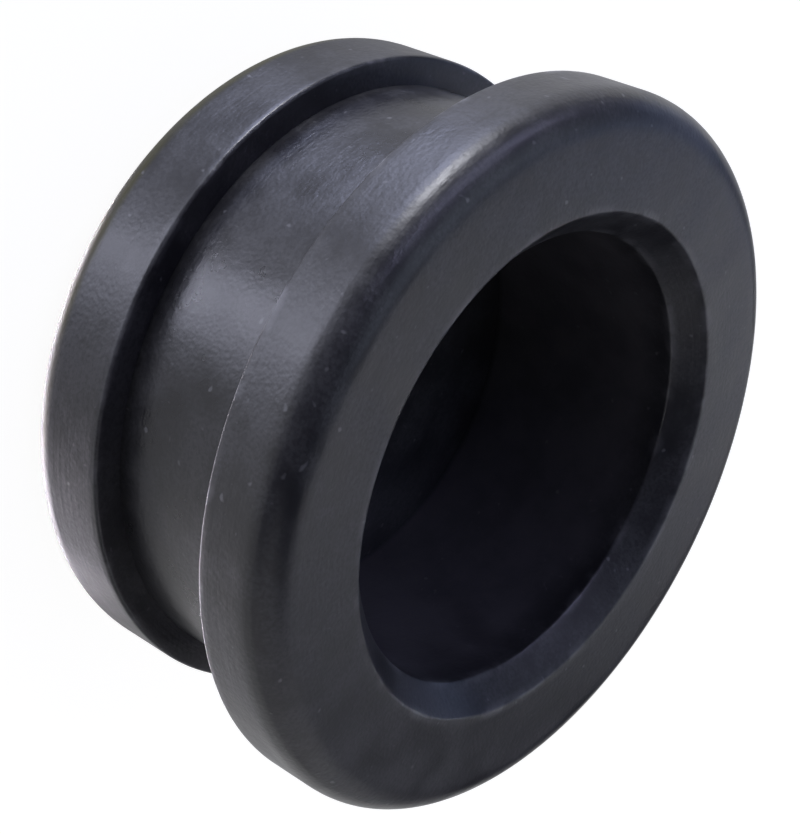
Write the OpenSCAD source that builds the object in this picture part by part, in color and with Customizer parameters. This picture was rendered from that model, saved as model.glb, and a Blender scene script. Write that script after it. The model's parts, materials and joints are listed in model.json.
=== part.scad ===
// Rubber hole plug, moulded in one piece. A straight neck sits in the hole of a panel,
// between a broad front flange with a soft edge and a smaller rear flange that is pushed through.
// A blind round recess with a bevelled mouth opens in the front face.
// The plug stands on its rear end with the recess up. Z is its axis and z = 0 is the rear end.

/* [Front flange] */
// Diameter of the front flange
front_d = 38.2; // [36:0.1:60]
// Thickness of the front flange
front_t = 4.5; // [3:0.1:8]
// Radius of the soft edge around the front face
front_round = 1.8; // [0.5:0.1:2.4]

/* [Neck] */
// Diameter of the neck, the size of the hole that it fills
neck_d = 32; // [28:0.5:33.5]
// Length of the neck between the flanges
neck_l = 9; // [2:0.5:20]
// Radius of the fillet at each end of the neck
neck_fillet = 0.15; // [0.1:0.05:0.6]

/* [Rear flange] */
// Diameter of the rear flange
rear_d = 35; // [33.5:0.5:45]
// Thickness of the rear flange
rear_t = 5.3; // [2.5:0.1:8]
// Radius of the soft rear edge, which enters the hole first
rear_round = 1.8; // [0.2:0.1:2]

/* [Recess] */
// Diameter of the recess
recess_d = 24; // [8:0.5:28]
// Width and depth of the bevel around the mouth of the recess
mouth_bevel = 1.4; // [0.4:0.1:2.5]
// Thickness of the closed end under the recess
floor_t = 5.3; // [1.5:0.1:8]

/* [Edges] */
// Radius of the crisp flange edges on either side of the neck
shoulder_round = 0.2; // [0.1:0.05:0.4]

/* [Hidden] */
$fn = 128;

front_r = front_d / 2;
neck_r = neck_d / 2;
rear_r = rear_d / 2;
recess_r = recess_d / 2;
neck_top = rear_t + neck_l;
plug_h = neck_top + front_t;
mouth_r = recess_r + mouth_bevel;

// The sliver between a square corner at the origin and the quarter round that softens it
module spandrel(radius) {
    difference() {
        square(radius);
        translate([radius, radius]) circle(radius);
    }
}

// Half section of a disc whose rim has a low and a high edge of different radii
module flange_section(radius, thickness, low_round, high_round) {
    difference() {
        square([radius, thickness]);
        translate([radius, 0]) mirror([1, 0]) spandrel(low_round);
        translate([radius, thickness]) rotate(180) spandrel(high_round);
    }
}

// Half section of the neck, with a fillet where it runs into each flange
module neck_section() {
    translate([0, rear_t]) square([neck_r, neck_l]);
    translate([neck_r, rear_t]) spandrel(neck_fillet);
    translate([neck_r, neck_top]) mirror([0, 1]) spandrel(neck_fillet);
}

// Half section of the recess: a flat floor, a straight wall and a 45 degree bevel at the mouth
module recess_section() {
    polygon([
        [0, floor_t],
        [recess_r, floor_t],
        [recess_r, plug_h - mouth_bevel],
        [mouth_r, plug_h],
        [0, plug_h]
    ]);
}

module plug_section() {
    difference() {
        union() {
            flange_section(rear_r, rear_t, rear_round, shoulder_round);
            neck_section();
            translate([0, neck_top]) flange_section(front_r, front_t, shoulder_round, front_round);
        }
        recess_section();
    }
}

module plug_body() {
    color("#2a2a2f") rotate_extrude() plug_section();
}

plug_body();
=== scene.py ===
# %% [markdown]
# A moulded rubber plug.
# The plug closes a round hole in a panel. It is moulded in one piece of black rubber: a straight neck fills
# the hole, a broad flange with a soft edge stays in front of the panel, and a smaller flange is pushed
# through and holds behind it. A blind recess opens in the front.
# This lesson turns the plug's section into a smooth mesh, gives it the finish of moulded rubber, and lights
# it. Everything is in metres, in the frame of the engineering model, which is loaded first and never moved.

# %% Load the fixed model
import json
import math

import bmesh
import bpy
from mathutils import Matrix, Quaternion, Vector


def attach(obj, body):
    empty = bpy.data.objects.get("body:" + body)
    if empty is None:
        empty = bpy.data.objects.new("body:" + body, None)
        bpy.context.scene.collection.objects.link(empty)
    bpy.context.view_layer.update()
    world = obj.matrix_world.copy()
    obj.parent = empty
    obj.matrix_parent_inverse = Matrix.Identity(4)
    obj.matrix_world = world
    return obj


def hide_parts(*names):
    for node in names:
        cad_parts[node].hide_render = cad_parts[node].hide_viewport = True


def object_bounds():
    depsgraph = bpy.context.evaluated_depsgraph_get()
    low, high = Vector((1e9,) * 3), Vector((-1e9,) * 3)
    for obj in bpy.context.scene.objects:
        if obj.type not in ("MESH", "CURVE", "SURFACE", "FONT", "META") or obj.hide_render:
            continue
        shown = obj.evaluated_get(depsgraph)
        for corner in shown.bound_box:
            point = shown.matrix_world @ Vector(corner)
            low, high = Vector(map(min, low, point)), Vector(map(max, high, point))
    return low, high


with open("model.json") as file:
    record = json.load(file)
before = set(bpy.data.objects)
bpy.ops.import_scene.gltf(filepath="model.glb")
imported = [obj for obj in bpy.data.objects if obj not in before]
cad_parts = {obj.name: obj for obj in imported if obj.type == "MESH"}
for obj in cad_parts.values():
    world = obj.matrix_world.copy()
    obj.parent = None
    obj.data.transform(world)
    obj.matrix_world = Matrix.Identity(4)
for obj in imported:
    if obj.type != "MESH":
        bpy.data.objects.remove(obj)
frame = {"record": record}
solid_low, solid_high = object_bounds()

MM = 0.001
print("solid box in mm:", [round(v / MM, 2) for v in (*solid_low, *solid_high)])

# %% [markdown]
# The section's sizes.
# The solid's box gives the height and the radius of the front flange. The neck and the recess are places
# where the plug meets other things, so the record lists them with their radius, middle and length. Reading
# them there keeps the mesh and the solid alike. Only the radius of the rear flange is written down again,
# and, with the section itself, how round its corners are.

# %% Read the section's sizes
mounts = {mount["name"]: mount for mount in frame["record"]["mounts"]}


def straight_wall(mount):
    """Radius, lowest z and highest z of a round wall."""
    half = mount["dims"]["length_mm"] * MM / 2
    middle = mount["pos_m"][2]
    return mount["dims"]["r_mm"] * MM, middle - half, middle + half


neck_r, neck_low, neck_top = straight_wall(mounts["neck_seat"])
recess_r, recess_floor, recess_top = straight_wall(mounts["recess"])
plug_h = solid_high.z
front_r = solid_high.x
rear_r = 17.5 * MM
mouth_r = recess_r + plug_h - recess_top
print(f"neck {neck_r / MM:.1f} mm from {neck_low / MM:.1f} to {neck_top / MM:.1f} mm, "
      f"mouth {mouth_r / MM:.1f} mm")

# %% [markdown]
# The half section, drawn as a wire.
# A round moulding is one outline turned about its axis, so a lathe is the natural tool: draw half of the
# section once and spin it. Stacked cylinders would leave hidden faces inside and hard joints between them.
# The wire has one vertex for each corner of the section. Each corner carries its own softness, because
# that is what the eye reads as rubber: the outer edges are broad curves, while the edges beside the neck
# are crisp. The fillets at the neck's ends are finer than the picture can show, and would draw a thin false
# line of light in the groove, so those corners stay sharp here. The last value of a corner says how
# pale its edge is painted: partly worn by handling, partly a painted highlight along the edge.

# %% Draw the corners of the half section
front_round = 1.8 * MM
rear_round = 1.8 * MM
shoulder_round = 0.2 * MM
mouth_round = 0.25 * MM

corners = [
    # radius, height, softness, pale edge (wear and painted highlight)
    (0.0, 0.0, 0.0, 0.0),
    (rear_r, 0.0, rear_round, 0.0),
    (rear_r, neck_low, shoulder_round, 0.35),
    (neck_r, neck_low, 0.0, 0.0),
    (neck_r, neck_top, 0.0, 0.0),
    (front_r, neck_top, shoulder_round, 1.0),
    (front_r, plug_h, front_round, 0.0),
    (mouth_r, plug_h, mouth_round, 0.3),
    (recess_r, recess_top, mouth_round, 0.3),
    (recess_r, recess_floor, 0.0, 0.0),
    (0.0, recess_floor, 0.0, 0.0),
]

section = bmesh.new()
wire = [section.verts.new((radius, 0.0, height)) for radius, height, _, _ in corners]
for near, far in zip(wire, wire[1:]):
    section.edges.new((near, far))
print("corners in the half section:", len(wire))

# %% [markdown]
# Softening the corners.
# A bevel with affect set to VERTICES rounds a corner of a wire. Its offset is how far the cut slides along
# both edges. For a round of radius r between edges that turn by an angle, that slide is r times the tangent
# of half the angle: r itself at a right angle, and less at the shallow corners of the mouth's bevel.

# %% Round each corner
SMALL_STEPS = 4
BROAD_STEPS = 14
BROAD_FROM = 0.4 * MM

for vert, (_, _, softness, _) in zip(wire, corners):
    if softness == 0.0:
        continue
    before, after = [edge.other_vert(vert).co - vert.co for edge in vert.link_edges]
    turn = math.pi - before.angle(after)
    bmesh.ops.bevel(
        section, geom=[vert], affect="VERTICES", offset_type="OFFSET",
        offset=softness * math.tan(turn / 2),
        segments=BROAD_STEPS if softness > BROAD_FROM else SMALL_STEPS,
        profile=0.5, material=-1,
    )
print("points after rounding:", len(section.verts))

# %% [markdown]
# Points along the straight stretches.
# The finish changes near the edges, and a value stored on vertices can only change where there are vertices.
# So the long edges of the wire are cut into short steps before it is turned.

# %% Cut the long edges
STEP = 0.4 * MM
for edge in list(section.edges):
    cuts = int(edge.calc_length() / STEP)
    if cuts:
        bmesh.ops.subdivide_edges(section, edges=[edge], cuts=cuts)
print("points along the section:", len(section.verts))

# %% [markdown]
# Values that ride on the wire.
# Spin copies whatever a vertex carries, so a value set on the wire reaches the whole turned surface.
# The first, run, is the way along the section in millimetres. A pattern that changes quickly with run and
# slowly around the axis gives the fine lines that a turned mould leaves. The second is how pale an edge is
# painted, partly wear and partly a painted highlight: full at the edge's corner and fading over a fraction
# of a millimetre. The others are places from 0 to 1. Shelter is the neck, where hands don't reach between
# the flanges and the rubber keeps the shine of the mould. The next is the lower part of the rear edge's
# round, which gets a brownish tint and painted shade that darkens its sheen where the edge turns under. The
# last is
# the recess, painted paler below its top: painted light that lifts the recess's shade.

# %% Store the values on the wire
# Reaches of the pale edges (wear and painted highlight), the rear edge's tint and painted shade, and the
# recess's painted light.
RUB_AND_HIGHLIGHT_REACH = 0.22 * MM
EDGE_SHADE_REACH = 0.4 * MM
RECESS_LIGHT_REACH = 2 * MM
layers = section.verts.layers.float
run_layer = layers.new("run")
rub_and_highlight_layer = layers.new("rub")
shelter_layer = layers.new("shelter")
edge_tint_and_shade_layer = layers.new("film")
recess_light_layer = layers.new("dust")


def share(value, nought, full):
    """How far a value has come from nought to full, kept between 0 and 1."""
    return min(1.0, max(0.0, (value - nought) / (full - nought)))


ends = [vert for vert in section.verts if len(vert.link_edges) == 1]
vert = min(ends, key=lambda end: end.co.z)
edge = None
travelled = 0.0
while True:
    radius, height = vert.co.x, vert.co.z
    vert[run_layer] = travelled / MM
    # Edges are painted pale near each corner: wear and a painted highlight.
    for corner_r, corner_z, _, worn_and_highlight in corners:
        away = math.hypot(radius - corner_r, height - corner_z)
        vert[rub_and_highlight_layer] = max(vert[rub_and_highlight_layer], worn_and_highlight * math.exp(-(away / RUB_AND_HIGHLIGHT_REACH) ** 2))
    # The recess is painted paler below its top: painted light.
    if radius < mouth_r and height >= recess_floor:
        vert[recess_light_layer] = share(height, recess_top, recess_top - RECESS_LIGHT_REACH)
    elif neck_low <= height <= neck_top:
        vert[shelter_layer] = share(radius, rear_r, neck_r)
    # The rear edge's lower round gets a brownish tint and painted shade.
    elif radius > rear_r - rear_round:
        vert[edge_tint_and_shade_layer] = share(height, rear_round, rear_round - EDGE_SHADE_REACH)
    onward = [link for link in vert.link_edges if link is not edge]
    if not onward:
        break
    edge = onward[0]
    travelled += edge.calc_length()
    vert = edge.other_vert(vert)
print(f"length of the half section: {travelled / MM:.1f} mm")

# %% [markdown]
# Turning the section.
# One full spin makes the whole skin, and use_merge joins its last ring to its first. The wire touches the
# axis at both ends, so those points are copied onto themselves: merging doubles closes the two poles. Spin
# may leave the faces looking inwards, so the normals are worked out again once the skin is closed.

# %% Spin the plug
TURNS = 288
SHARP_FROM = math.radians(40)
MERGE_WITHIN = 0.001 * MM

bmesh.ops.spin(
    section, geom=section.verts[:] + section.edges[:], cent=(0, 0, 0), axis=(0, 0, 1),
    dvec=(0, 0, 0), angle=math.tau, steps=TURNS, use_merge=True, use_duplicate=False,
)
bmesh.ops.remove_doubles(section, verts=section.verts, dist=MERGE_WITHIN)
bmesh.ops.recalc_face_normals(section, faces=section.faces)
for face in section.faces:
    face.smooth = True
for link in section.edges:
    link.smooth = link.calc_face_angle(0.0) < SHARP_FROM
open_edges = sum(not link.is_manifold for link in section.edges)
volume = section.calc_volume(signed=True) / MM ** 3

plug_mesh = bpy.data.meshes.new("rubber_plug_skin")
section.to_mesh(plug_mesh)
section.free()
plug = bpy.data.objects.new("rubber_plug", plug_mesh)
bpy.context.scene.collection.objects.link(plug)
plug_mesh.calc_loop_triangles()
print(f"plug: {len(plug_mesh.loop_triangles)} triangles, {open_edges} open edges, {volume:.0f} mm3")

# %% [markdown]
# Helpers for the finish.
# A finish is a graph of shader nodes. Five small helpers keep the cells short: one adds a node and sets its
# inputs, one makes a noise pattern, one turns a pattern into a soft step between two values, one does sums
# and one lays a colour over another.

# %% Helpers that add shader nodes
def add_node(tree, kind, inputs=None, **settings):
    """A new node, with its settings and the start values or links of its inputs."""
    node = tree.nodes.new(kind)
    for name, value in settings.items():
        setattr(node, name, value)
    for name, value in (inputs or {}).items():
        if isinstance(value, bpy.types.NodeSocket):
            tree.links.new(value, node.inputs[name])
        else:
            node.inputs[name].default_value = value
    return node


def noise(tree, place, scale, detail=3.0, roughness=0.5):
    """A cloudy pattern from 0 to 1 whose patches are about 1 / scale long."""
    node = add_node(tree, "ShaderNodeTexNoise", {
        "Vector": place, "Scale": scale, "Detail": detail, "Roughness": roughness,
    })
    return node.outputs["Fac"]


def remap(tree, value, low, high, to_low=0.0, to_high=1.0):
    """A soft step: low becomes to_low and high becomes to_high."""
    node = add_node(tree, "ShaderNodeMapRange", {
        "Value": value, "From Min": low, "From Max": high, "To Min": to_low, "To Max": to_high,
    }, interpolation_type="SMOOTHSTEP")
    return node.outputs["Result"]


def math_node(tree, operation, first, second):
    """A sum, a product or the like of two values. Each may be a plain number or a link."""
    node = add_node(tree, "ShaderNodeMath", operation=operation)
    for socket, value in zip(node.inputs, (first, second)):
        if isinstance(value, bpy.types.NodeSocket):
            tree.links.new(value, socket)
        else:
            socket.default_value = value
    return node.outputs["Value"]


def mix_colour(tree, amount, first, second):
    """One colour over another. Either may be a plain colour or a link."""
    node = add_node(tree, "ShaderNodeMix", data_type="RGBA")
    for name, value in (("Factor_Float", amount), ("A_Color", first), ("B_Color", second)):
        socket = next(s for s in node.inputs if s.identifier == name)
        if isinstance(value, bpy.types.NodeSocket):
            tree.links.new(value, socket)
        else:
            socket.default_value = value
    return next(s for s in node.outputs if s.identifier == "Result_Color")


print("node helpers ready")

# %% [markdown]
# The colour of the rubber.
# Black rubber is nearly all sheen: it takes in almost all light, so what we see is a blurred reflection of
# the room. A flat grey would lose that, so the base colour stays close to black and only drifts a little: a
# grey bloom lies on it in soft clouds, the filler in the rubber shows as a fine speckle, a few pale specks
# stick to it, and the flanges' edges are painted pale in patches, partly wear and partly a painted
# highlight.
# One noise pattern per size of detail keeps each easy to tune. The places that ride on the mesh say where
# the rear edge gets its brownish tint with painted shade, and where the recess is painted paler, painted
# light that lifts its shade.

# %% Colour the rubber
RUBBER = (0.013, 0.013, 0.016, 1.0)
BLOOM = (0.033, 0.033, 0.037, 1.0)
# Pale edges: partly wear, partly a painted highlight.
RUBBED_AND_HIGHLIGHT = (0.200, 0.200, 0.212, 1.0)
SPECK = (0.120, 0.120, 0.128, 1.0)
# Brownish tint of the rear edge. Its sheen is darkened further down as painted shade.
EDGE_TINT = (0.036, 0.034, 0.018, 1.0)
# Painted light: a paler colour that lifts the recess's shade.
RECESS_LIGHT = (0.068, 0.065, 0.072, 1.0)
RUBBER_IOR = 1.52
CLOUDS_PER_M = 330
PATCHES_PER_M = 420
DOTS_PER_M = 2400
SPECKLE_PER_M = 5200

rubber = bpy.data.materials.new("black_rubber_skin")
rubber.use_nodes = True
tree = rubber.node_tree
skin = tree.nodes["Principled BSDF"]
skin.inputs["IOR"].default_value = RUBBER_IOR

place = add_node(tree, "ShaderNodeTexCoord").outputs["Object"]
run, rub, shelter, film, dust = [
    add_node(tree, "ShaderNodeAttribute", attribute_name=name).outputs["Fac"]
    for name in ("run", "rub", "shelter", "film", "dust")
]
clouds = noise(tree, place, CLOUDS_PER_M, detail=5, roughness=0.6)
speckle = noise(tree, place, SPECKLE_PER_M, detail=2)
patches = noise(tree, place, PATCHES_PER_M, detail=3)
dots = noise(tree, place, DOTS_PER_M, detail=0)

filler = remap(tree, speckle, low=0.3, high=0.7, to_low=0.4, to_high=1.6)
bloom = math_node(tree, "MULTIPLY", remap(tree, clouds, low=0.33, high=0.68), filler)
colour = mix_colour(tree, bloom, RUBBER, BLOOM)
# The rear edge's brownish tint, which also drives its painted shade on the sheen.
edge_tint_and_shade_amount = math_node(tree, "MULTIPLY", film, remap(tree, patches, low=0.3, high=0.6, to_low=0.5))
colour = mix_colour(tree, edge_tint_and_shade_amount, colour, EDGE_TINT)
# The recess is painted paler: painted light.
recess_lit = math_node(tree, "MULTIPLY", dust, remap(tree, clouds, low=0.3, high=0.7, to_low=0.6))
colour = mix_colour(tree, recess_lit, colour, RECESS_LIGHT)
specks = remap(tree, dots, low=0.78, high=0.92, to_high=0.8)
colour = mix_colour(tree, specks, colour, SPECK)
# Pale edge patches: wear and a painted highlight.
worn_and_highlight = math_node(tree, "MULTIPLY", rub, remap(tree, patches, low=0.48, high=0.62, to_low=0.05))
colour = mix_colour(tree, worn_and_highlight, colour, RUBBED_AND_HIGHLIGHT)
tree.links.new(colour, skin.inputs["Base Color"])
plug_mesh.materials.append(rubber)
print("colour nodes:", len(tree.nodes))

# %% [markdown]
# The sheen of the rubber.
# The sheen carries the look, so it gets the finest detail. Its roughness follows the bloom, and is lower on
# the sheltered neck. The relief has three parts: a grain from the mould's matt surface, a low swell from the
# rubber shrinking as it cools, and faint lines that the turned mould left around the axis. They are far too
# fine for the mesh, so they are bump: the distance is the real height of the relief, and the sheltered neck
# shows less of it. Along the lower rear edge the sheen is tinted olive and darkened: painted shade where the
# edge turns under.

# %% Give the rubber its sheen
RELIEF = 0.03 * MM
GRAIN_PER_M = 4200
SWELL_PER_M = 900
LINES_AROUND_PER_M = 90.0
LINES_ALONG_PER_MM = 5.0
GRAIN_SHARE = 0.55
LINES_SHARE = 0.35
OPEN_STRENGTH = 0.8
SHELTERED_STRENGTH = 0.65
SHINIEST = 0.32
DULLEST = 0.42
SHELTERED_SHINE = 0.06
CLEAR_SHEEN = (1.0, 1.0, 1.0, 1.0)
# Painted shade: the sheen of the rear edge's lower round is darkened and tinted olive.
SHADED_EDGE_SHEEN = (0.76, 0.74, 0.50, 1.0)

split = add_node(tree, "ShaderNodeSeparateXYZ", {"Vector": place})
across = [math_node(tree, "MULTIPLY", split.outputs[axis], LINES_AROUND_PER_M) for axis in ("X", "Y")]
along = math_node(tree, "MULTIPLY", run, LINES_ALONG_PER_MM)
lines_place = add_node(tree, "ShaderNodeCombineXYZ", {"X": across[0], "Y": across[1], "Z": along})
lines = noise(tree, lines_place.outputs["Vector"], 1.0, detail=2, roughness=0.6)
grain = noise(tree, place, GRAIN_PER_M, detail=1)
swell = noise(tree, place, SWELL_PER_M, detail=2)

dullness = remap(tree, clouds, low=0.3, high=0.7, to_low=SHINIEST, to_high=DULLEST)
shine = math_node(tree, "MULTIPLY", shelter, SHELTERED_SHINE)
dullness = math_node(tree, "SUBTRACT", dullness, shine)
tree.links.new(dullness, skin.inputs["Roughness"])

height = math_node(tree, "ADD", math_node(tree, "MULTIPLY", grain, GRAIN_SHARE), swell)
height = math_node(tree, "ADD", height, math_node(tree, "MULTIPLY", lines, LINES_SHARE))
strength = remap(tree, shelter, low=0.0, high=1.0, to_low=OPEN_STRENGTH, to_high=SHELTERED_STRENGTH)
relief = add_node(tree, "ShaderNodeBump", {"Height": height, "Strength": strength, "Distance": RELIEF})
tree.links.new(relief.outputs["Normal"], skin.inputs["Normal"])

# Painted shade: the sheen is darkened and tinted along the rear edge's lower round.
tree.links.new(mix_colour(tree, edge_tint_and_shade_amount, CLEAR_SHEEN, SHADED_EDGE_SHEEN), skin.inputs["Specular Tint"])
print("nodes with the sheen:", len(tree.nodes))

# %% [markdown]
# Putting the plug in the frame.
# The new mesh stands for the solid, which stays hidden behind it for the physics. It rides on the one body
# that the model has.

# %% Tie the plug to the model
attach(plug, "root")
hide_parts("plug_body")
print("plug replaces plug_body")

# %% [markdown]
# The floor.
# The plug stands on its rear end on a white floor. The floor is a pale surface that takes the plug's soft
# shadow, and for the camera and for reflections a plain white glow is added to it, so that it comes out
# white without more light on the plug. A glow knows no shadow, so the floor that the rubber mirrors is
# dimmer, and most of all close to the plug, by ambient occlusion: that draws the dark line where the rear
# edge turns under. To shadow rays the floor is clear, so that panels may also shine up from below it, as
# through a glass table.

# %% Lay the floor
FLOOR_R = 1.5
FLOOR_SIDES = 64
FLOOR_GLOW = 0.94
MIRROR_GLOW = 0.70
SHADE_REACH = 40 * MM
FLOOR_GREY = (0.22, 0.22, 0.22, 1.0)

ground = bmesh.new()
bmesh.ops.create_circle(ground, cap_ends=True, segments=FLOOR_SIDES, radius=FLOOR_R)
floor_mesh = bpy.data.meshes.new("floor")
ground.to_mesh(floor_mesh)
ground.free()
floor = bpy.data.objects.new("floor", floor_mesh)
bpy.context.scene.collection.objects.link(floor)

white = bpy.data.materials.new("white_floor")
white.use_nodes = True
tree = white.node_tree
tree.nodes.clear()
rays = add_node(tree, "ShaderNodeLightPath")
shade = add_node(tree, "ShaderNodeAmbientOcclusion", {"Distance": SHADE_REACH}, samples=8)
seen = math_node(tree, "MAXIMUM", rays.outputs["Is Camera Ray"], rays.outputs["Is Transmission Ray"])
seen = math_node(tree, "MULTIPLY", seen, FLOOR_GLOW)
mirrored = math_node(tree, "MULTIPLY", rays.outputs["Is Glossy Ray"], shade.outputs["AO"])
mirrored = math_node(tree, "MULTIPLY", mirrored, MIRROR_GLOW)
glow = add_node(tree, "ShaderNodeEmission", {"Strength": math_node(tree, "MAXIMUM", seen, mirrored)})
lit = add_node(tree, "ShaderNodeBsdfDiffuse", {"Color": FLOOR_GREY})
paper = add_node(tree, "ShaderNodeAddShader")
tree.links.new(glow.outputs["Emission"], paper.inputs[0])
tree.links.new(lit.outputs["BSDF"], paper.inputs[1])
clear = add_node(tree, "ShaderNodeBsdfTransparent")
table = add_node(tree, "ShaderNodeMixShader", {"Fac": rays.outputs["Is Shadow Ray"]})
tree.links.new(paper.outputs["Shader"], table.inputs[1])
tree.links.new(clear.outputs["BSDF"], table.inputs[2])
add_node(tree, "ShaderNodeOutputMaterial", {"Surface": table.outputs["Shader"]})
floor_mesh.materials.append(white)
print("floor radius in m:", FLOOR_R)

# %% [markdown]
# The room.
# Rubber mirrors the room, so what is dark in the room matters as much as the lamps. A dim, even, slightly
# cool room keeps the recess black and draws the dark band along the soft front edge. Only the camera sees
# the room as paper of the floor's own white, so that no line shows where a low view looks past the floor.

# %% Dim the room
ROOM = (0.030, 0.030, 0.040, 1.0)
PAPER = (FLOOR_GLOW, FLOOR_GLOW, FLOOR_GLOW, 1.0)

world = bpy.data.worlds.new("dim_room")
world.use_nodes = True
bpy.context.scene.world = world
tree = world.node_tree
tree.nodes.clear()
rays = add_node(tree, "ShaderNodeLightPath")
dim = add_node(tree, "ShaderNodeBackground", {"Color": ROOM})
paper = add_node(tree, "ShaderNodeBackground", {"Color": PAPER})
room = add_node(tree, "ShaderNodeMixShader", {"Fac": rays.outputs["Is Camera Ray"]})
tree.links.new(dim.outputs["Background"], room.inputs[1])
tree.links.new(paper.outputs["Background"], room.inputs[2])
add_node(tree, "ShaderNodeOutputWorld", {"Surface": room.outputs["Shader"]})
print("room nodes:", len(tree.nodes))

# %% [markdown]
# The lamps.
# Each lamp is a soft panel that looks at the middle of the neck. Its place is given by the turn around the
# axis, counted from the viewer's side, the rise above or below the horizon and the distance, and spin turns
# the panel in its own plane. Sides that stand upright mirror what lies below the table, so the sheen on the
# rims and the neck comes from panels down there: one at the side, a small bright one for the streak at the
# top end, one in front, and a weak one that lifts the far ends. The front face mirrors a panel behind the
# plug. A panel at the side and one overhead light the soft edge and the bevel, a small card close to the
# plug lifts the near end of the soft edge and a low card behind lifts its far end. The viewer's own side
# stays dark.

# %% Hang the lamps
LAMP_AIM = Vector((0, 0, (neck_low + neck_top) / 2))


def hang_panel(name, turn, rise, away, size, spin, glow, colour):
    """A panel that looks glow times as bright as white paper."""
    turn, rise = math.radians(turn), math.radians(rise)
    out = Vector((math.cos(rise) * math.sin(turn), -math.cos(rise) * math.cos(turn), math.sin(rise)))
    lamp = bpy.data.lights.new(name, "AREA")
    lamp.shape = "RECTANGLE"
    lamp.size, lamp.size_y = size
    lamp.energy = glow * math.pi * lamp.size * lamp.size_y
    lamp.color = colour
    lamp.cycles.use_multiple_importance_sampling = False
    panel = bpy.data.objects.new(name, lamp)
    panel.location = LAMP_AIM + out * away
    facing = (-out).to_track_quat("-Z", "Y") @ Quaternion((0, 0, 1), math.radians(spin))
    panel.rotation_euler = facing.to_euler()
    panel.visible_camera = False
    bpy.context.scene.collection.objects.link(panel)
    return panel


panels = [
    # name, turn and rise in degrees, distance and size in metres, spin in degrees, glow, colour
    hang_panel("long_sheen", -59.5, -24.4, 0.30, (0.176, 0.073), 8.8, 9.3, (0.62, 0.68, 1.0)),
    hang_panel("edge_streak", -56.3, -3.1, 0.30, (0.051, 0.104), 100, 39.0, (0.92, 0.93, 1.0)),
    hang_panel("near_sheen", -5.6, -32.5, 0.30, (0.236, 0.098), -76.6, 5.2, (0.79, 0.81, 1.0)),
    hang_panel("far_ends", 124, -66.8, 0.30, (0.237, 0.199), -64.5, 5.3, (0.95, 0.88, 1.0)),
    hang_panel("face_panel", 176.4, 43, 0.190, (0.060, 0.273), 39.2, 1.05, (0.93, 0.93, 1.0)),
    hang_panel("side_panel", -70.9, 37.3, 0.30, (0.062, 0.316), -67.2, 3.7, (0.63, 0.65, 1.0)),
    hang_panel("top_panel", -124, 65, 0.30, (0.260, 0.172), 69, 1.02, (0.69, 0.79, 1.0)),
    hang_panel("near_card", 89, 32, 0.045, (0.075, 0.0315), 4.5, 0.63, (0.93, 0.93, 1.0)),
    hang_panel("back_card", -142, 18.5, 0.30, (0.286, 0.062), -49.4, 1.25, (0.44, 0.57, 1.0)),
]
print("panels:", [panel.name for panel in panels])

# %% [markdown]
# The camera.
# The photograph looks at the plug from the front and above, with the picture turned so that the axis runs
# down to the right. The camera is aimed first and then rolled about its own line of sight. Blender counts
# the lens and the sensor in millimetres. The near clip is small, because the camera stands only ten
# centimetres away.

# %% Place the camera
VIEW_RISE = 35.644
VIEW_ROLL = 90 + 25.938
VIEW_AWAY = 97.168 * MM
VIEW_AIM = Vector((0.709, -4.530, 12.484)) * MM
VIEW_LENS = 84.915
VIEW_SENSOR = 36
NEAR_CLIP = 1 * MM

rise = math.radians(VIEW_RISE)
line_of_sight = Vector((0, math.cos(rise), -math.sin(rise)))
lens = bpy.data.cameras.new("view")
lens.lens = VIEW_LENS
lens.sensor_width = VIEW_SENSOR
lens.clip_start = NEAR_CLIP
camera = bpy.data.objects.new("view", lens)
camera.location = VIEW_AIM - line_of_sight * VIEW_AWAY
aim = line_of_sight.to_track_quat("-Z", "Y")
roll = Quaternion((0, 0, 1), math.radians(VIEW_ROLL))
camera.rotation_euler = (aim @ roll).to_euler()
bpy.context.scene.collection.objects.link(camera)
bpy.context.scene.camera = camera
bpy.context.scene.view_settings.view_transform = "Standard"
print("camera at mm:", [round(v / MM, 1) for v in camera.location])
